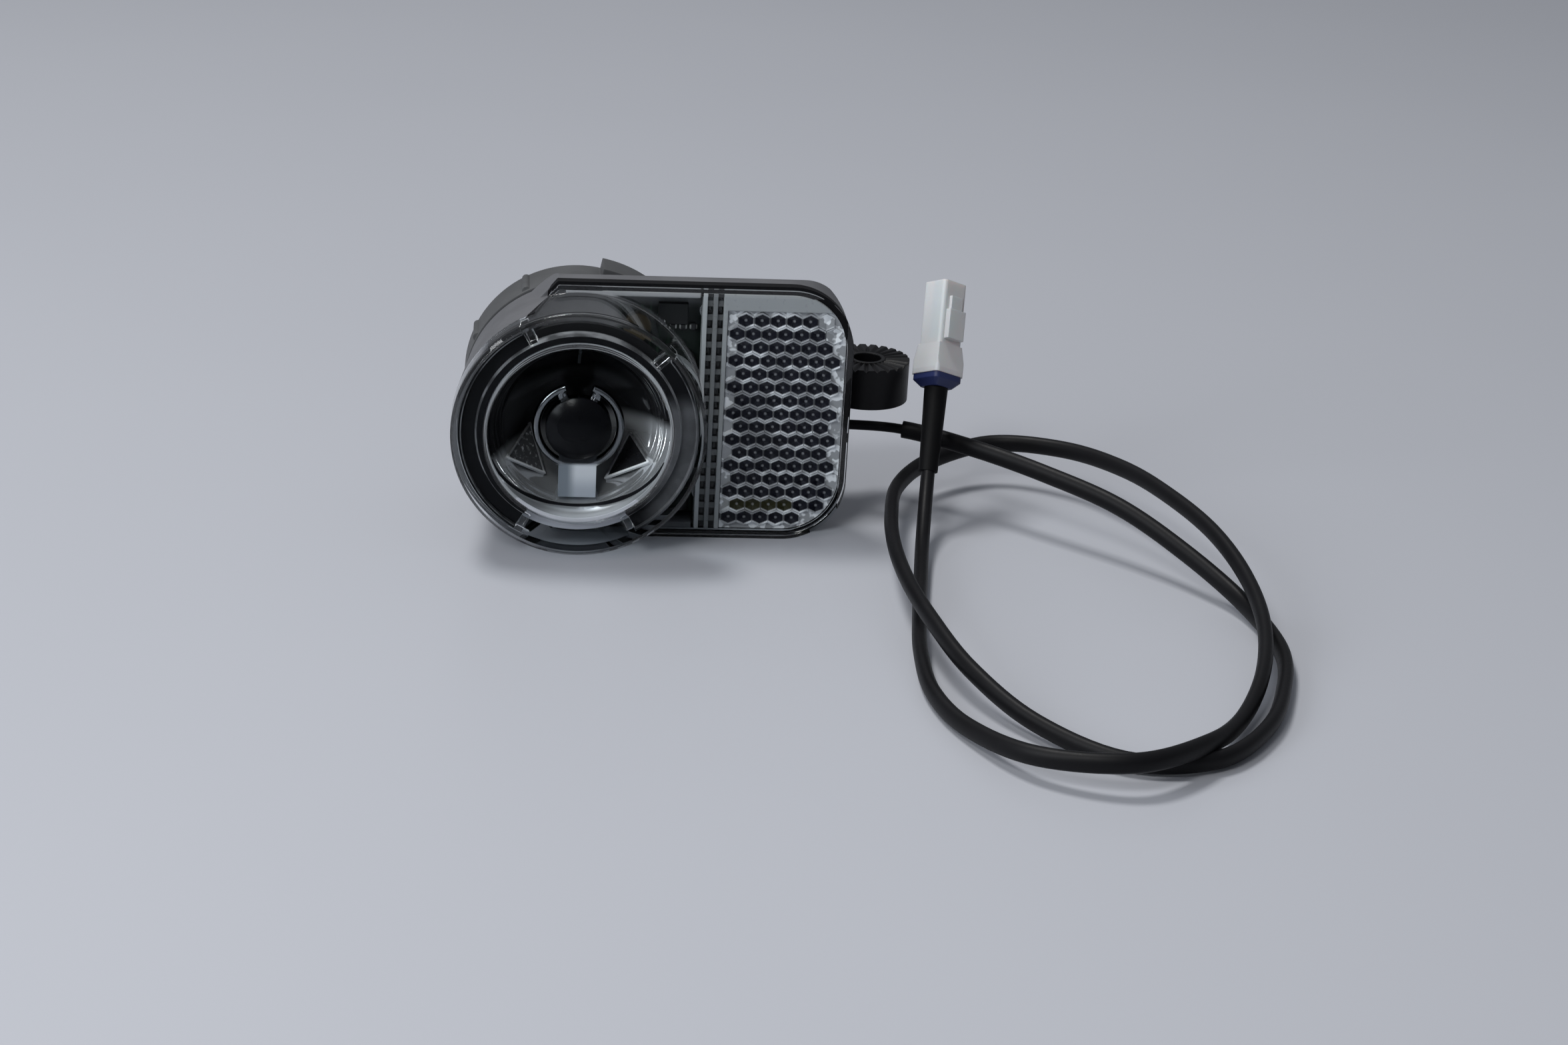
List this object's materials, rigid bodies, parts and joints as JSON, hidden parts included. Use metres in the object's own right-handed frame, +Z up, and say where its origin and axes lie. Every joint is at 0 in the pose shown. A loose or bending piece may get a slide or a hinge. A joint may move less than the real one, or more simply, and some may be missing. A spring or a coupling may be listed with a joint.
{
  "type": "bicycle headlight",
  "caption": "Bicycle headlight with a collared round lens, a retro-reflector beside it, a rear rotary switch, a tilting bracket eye and a looped lead ending in a white connector.",
  "frame": {"origin": "middle of the lamp's footprint on the table, the lead and its connector not counted", "axes": "+X to the right as seen from the front, the light shines towards -Y, +Z up along the bracket eye's bolt"},
  "size_m": [0.1609, 0.1529, 0.0535],
  "materials": {
    "body_grey": "fine satin moulding",
    "clear_plastic": "polished clear moulding",
    "bright_coat": "vacuum-metallised moulding, mirror bright",
    "black_plastic": "satin moulding",
    "black_gloss": "polished",
    "black_rubber": "smooth moulded rubber",
    "aluminium": "as extruded",
    "steel": "zinc plated",
    "board": "solder mask",
    "yellow_phosphor": "phosphor",
    "amber": "dipped coating",
    "retro_clear": "moulded corner cells",
    "navy_rubber": "moulded seal",
    "white_nylon": "moulded nylon",
    "brass": "tin-flashed"
  },
  "bodies": {
    "lamp": {"housing": "body_grey", "front_cover": "clear_plastic", "cover_gasket": "black_rubber", "reflector_bowl": "bright_coat", "optic_retainer": "black_gloss", "led_carrier": "aluminium", "led_dome": "black_gloss", "led_chip": "yellow_phosphor", "heat_sink": "aluminium", "heat_sink_screw": "steel", "driver_board": "board", "board_screws": "steel", "standlight_capacitor": "black_plastic", "inductor": "black_plastic", "disc_capacitor": "amber", "driver_chip": "black_plastic", "hall_sensor": "black_plastic", "retro_reflector": "retro_clear", "reflector_frame": "black_plastic", "knob_clip": "steel", "cable_gland": "black_rubber", "lead_core": "black_rubber", "lead_sheath": "black_rubber", "cable_boot": "black_rubber", "connector_seal": "navy_rubber", "connector_body": "white_nylon", "connector_terminals": "brass"},
    "switch": {"switch_knob": "body_grey", "knob_cap": "body_grey", "knob_magnet": "steel"},
    "bracket": {"bracket_arm": "black_plastic", "tilt_screw": "steel", "spring_washer": "steel"}
  },
  "joints": [
    {"name": "switch_turn", "type": "hinge", "parent": "lamp", "child": "switch", "pos_m": [-0.0225, 0.00775, 0.02675], "axis": [0, 1, 0], "range_deg": [-30, 30]},
    {"name": "bracket_tilt", "type": "hinge", "parent": "lamp", "child": "bracket", "pos_m": [0.0205, 0.01525, 0.02735], "axis": [1, 0, 0], "range_deg": [-25, 25]}
  ]
}
